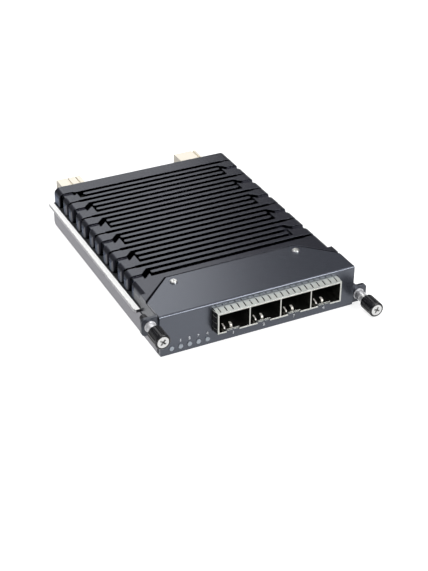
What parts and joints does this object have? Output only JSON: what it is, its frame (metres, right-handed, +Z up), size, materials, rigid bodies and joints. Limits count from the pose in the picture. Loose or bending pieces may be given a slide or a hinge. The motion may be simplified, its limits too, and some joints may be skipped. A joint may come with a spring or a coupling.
{
  "type": "switch line card",
  "caption": "Plug-in network line card with a finned black cover, a front row of ports in a sprung cage, captive thumbscrews on ears and backplane connectors behind",
  "frame": {"origin": "Middle of the front panel's lower front edge, on the surface that the card lies on", "axes": "X runs across the front panel to its right, Y runs from the panel back into the chassis, Z is up"},
  "size_m": [0.1048, 0.1484, 0.0198],
  "materials": {
    "heatsink": "black painted casting",
    "base_tray": "plain plated sheet",
    "front_panel": "dark grey semi-matt paint",
    "mounting_plate": "black semi-matt paint",
    "rail": "bright drawn",
    "cage": "bright tin plating",
    "screw": "bright nickel plating",
    "knob": "black moulded",
    "socket": "black moulded",
    "light_pipe": "milky clear",
    "connector": "cream moulded",
    "contact": "gold plated",
    "board": "green laminate",
    "chip": "black package",
    "pad": "soft grey pad",
    "can": "plain can"
  },
  "bodies": {
    "card": {"heatsink": "heatsink", "base_tray": "base_tray", "front_panel": "front_panel", "mounting_plate": "mounting_plate", "flange_screws": "screw", "front_screws": "screw", "cover_screws": "screw", "port_cage": "cage", "cage_floor": "cage", "cage_divider_1": "cage", "cage_divider_2": "cage", "cage_divider_3": "cage", "spring_collar": "cage", "circuit_board": "board", "board_standoffs": "screw", "board_screws": "screw", "switch_chip": "chip", "thermal_pad": "pad", "phy_chips": "chip", "power_modules": "chip", "capacitors": "can", "light_pipes": "light_pipe", "left_backplane_connector": "connector", "middle_backplane_connector": "connector", "right_backplane_connector": "connector", "backplane_contacts": "contact", "port_connector_1": "socket", "port_connector_2": "socket", "port_connector_3": "socket", "port_connector_4": "socket", "left_guide_rail": "rail", "right_guide_rail": "rail", "left_ferrule": "screw", "right_ferrule": "screw"},
    "left_screw_carrier": {"left_retaining_ring": "screw"},
    "left_thumbscrew": {"left_knob": "knob", "left_captive_screw": "screw"},
    "right_screw_carrier": {"right_retaining_ring": "screw"},
    "right_thumbscrew": {"right_knob": "knob", "right_captive_screw": "screw"}
  },
  "joints": [
    {"name": "left_screw_slide", "type": "slide", "parent": "card", "child": "left_screw_carrier", "axis": [0, 1, 0], "range_m": [-0.0021, 0.0038]},
    {"name": "left_screw_turn", "type": "hinge", "parent": "left_screw_carrier", "child": "left_thumbscrew", "pos_m": [-0.0486, 0, 0.0152], "axis": [0, 1, 0], "continuous": true},
    {"name": "right_screw_slide", "type": "slide", "parent": "card", "child": "right_screw_carrier", "axis": [0, 1, 0], "range_m": [0, 0.0059]},
    {"name": "right_screw_turn", "type": "hinge", "parent": "right_screw_carrier", "child": "right_thumbscrew", "pos_m": [0.0486, 0, 0.0038], "axis": [0, 1, 0], "continuous": true}
  ]
}
